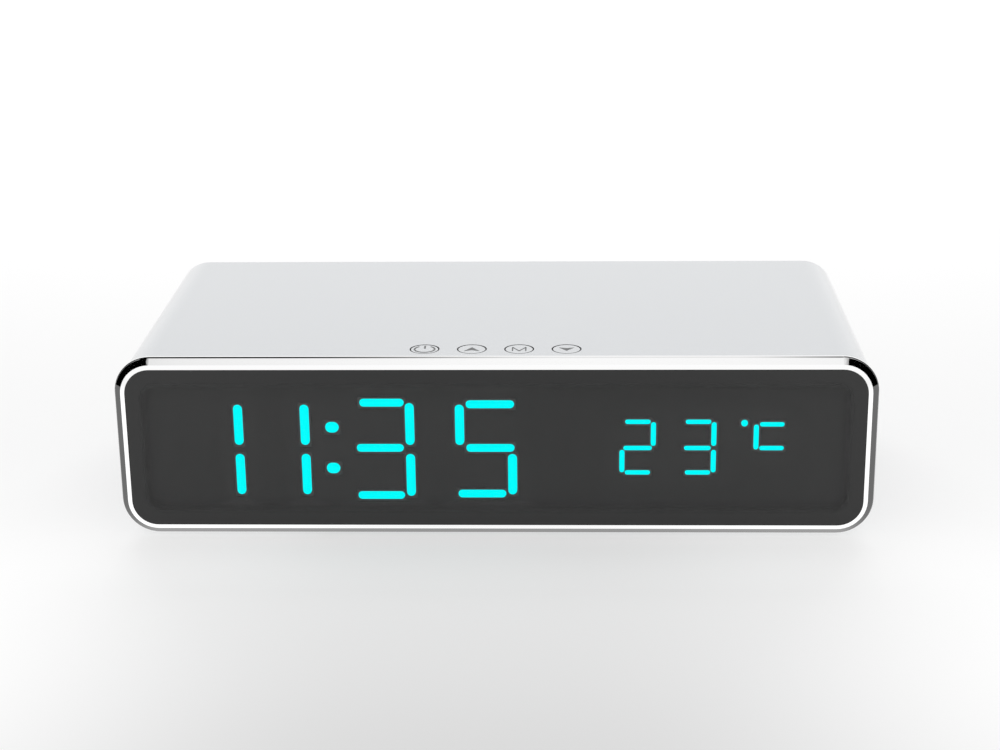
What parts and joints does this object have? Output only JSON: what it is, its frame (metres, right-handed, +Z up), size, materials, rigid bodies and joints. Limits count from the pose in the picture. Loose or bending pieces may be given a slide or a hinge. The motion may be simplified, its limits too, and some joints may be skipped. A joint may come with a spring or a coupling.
{
  "type": "digital led desk clock",
  "caption": "Low wide desk clock with a rounded silver case, polished bezel, smoked lens with lit time and temperature, and press keys on top.",
  "frame": {"origin": "on the surface that the feet stand on, under the middle of the clock", "axes": "+X to the right as the display is read, along the longest side, +Y from the display to the rear cover, +Z up, the shortest side"},
  "size_m": [0.2, 0.0978, 0.0508],
  "materials": {
    "case_silver": "satin silver-white lacquer on moulded ABS",
    "key_silver": "same satin lacquer as the case",
    "bezel_chrome": "polished, two flat bevels",
    "smoked_lens": "smoked acrylic, even dark grey",
    "foam_tape": "black foam tape",
    "block_black": "matt black front plate",
    "lit_cyan": "milky diffuser, lit cyan",
    "unlit_dark": "smoked diffuser, unlit",
    "board_green": "green board, semi-gloss lacquer",
    "chip_black": "black moulding compound",
    "lamp_white": "white lamp bodies",
    "screw_steel": "zinc plated",
    "header_ivory": "ivory connector plastic",
    "cable_white": "white flat cable",
    "lead_red": "red insulation",
    "switch_black": "black switch bodies",
    "plunger_black": "black plungers",
    "can_aluminium": "drawn cans",
    "inlet_steel": "nickel plated shell",
    "inlet_black": "black insert",
    "sensor_bead": "dark epoxy bead on tinned leads",
    "holder_black": "fine grained black ABS",
    "contact_brass": "nickel silver spring strip",
    "cell_steel": "satin stainless",
    "coil_copper": "enamelled copper winding",
    "ferrite_grey": "dark ferrite sheet",
    "cover_black": "fine grained black ABS",
    "foot_rubber": "soft dark rubber"
  },
  "bodies": {
    "clock_body": {"housing_sleeve": "case_silver", "front_bezel": "bezel_chrome", "front_lens": "smoked_lens", "lens_tape": "foam_tape", "light_block": "block_black", "time_segments": "lit_cyan", "temperature_segments": "lit_cyan", "dark_segments": "unlit_dark", "display_board": "board_green", "key_board": "board_green", "main_board": "board_green", "display_drivers": "chip_black", "controller_chips": "chip_black", "power_choke": "chip_black", "buzzer": "chip_black", "segment_lamps": "lamp_white", "display_screws": "screw_steel", "display_board_screws": "screw_steel", "key_board_screws": "screw_steel", "main_board_screws": "screw_steel", "coil_screws": "screw_steel", "rear_cover_screws": "screw_steel", "display_plug": "header_ivory", "key_plug": "header_ivory", "board_headers": "header_ivory", "display_cable": "cable_white", "key_cable": "cable_white", "coil_leads": "lead_red", "cell_leads": "lead_red", "switch_bases": "switch_black", "capacitors": "can_aluminium", "clock_crystal": "can_aluminium", "power_inlet": "inlet_steel", "inlet_tongue": "inlet_black", "temperature_sensor": "sensor_bead", "cell_holder": "holder_black", "coil_tray": "holder_black", "cell_contacts": "contact_brass", "coin_cell": "cell_steel", "charging_coil": "coil_copper", "coil_ferrite": "ferrite_grey", "rear_cover": "cover_black", "rubber_feet": "foot_rubber"},
    "power_key": {"key_cap_power": "key_silver", "switch_plunger_power": "plunger_black"},
    "up_key": {"key_cap_up": "key_silver", "switch_plunger_up": "plunger_black"},
    "mode_key": {"key_cap_mode": "key_silver", "switch_plunger_mode": "plunger_black"},
    "down_key": {"key_cap_down": "key_silver", "switch_plunger_down": "plunger_black"},
    "battery_cover": {"battery_cover": "holder_black"}
  },
  "joints": [
    {"name": "power_key_press", "type": "slide", "parent": "clock_body", "child": "power_key", "axis": [0, 0, -1], "range_m": [0, 0.0005], "stiffness_N_per_m": 200},
    {"name": "up_key_press", "type": "slide", "parent": "clock_body", "child": "up_key", "axis": [0, 0, -1], "range_m": [0, 0.0005], "stiffness_N_per_m": 200},
    {"name": "mode_key_press", "type": "slide", "parent": "clock_body", "child": "mode_key", "axis": [0, 0, -1], "range_m": [0, 0.0005], "stiffness_N_per_m": 200},
    {"name": "down_key_press", "type": "slide", "parent": "clock_body", "child": "down_key", "axis": [0, 0, -1], "range_m": [0, 0.0005], "stiffness_N_per_m": 200},
    {"name": "battery_cover_turn", "type": "hinge", "parent": "clock_body", "child": "battery_cover", "pos_m": [-0.066, 0.012, 0.003], "axis": [0, 0, -1], "range_deg": [0, 40]}
  ]
}
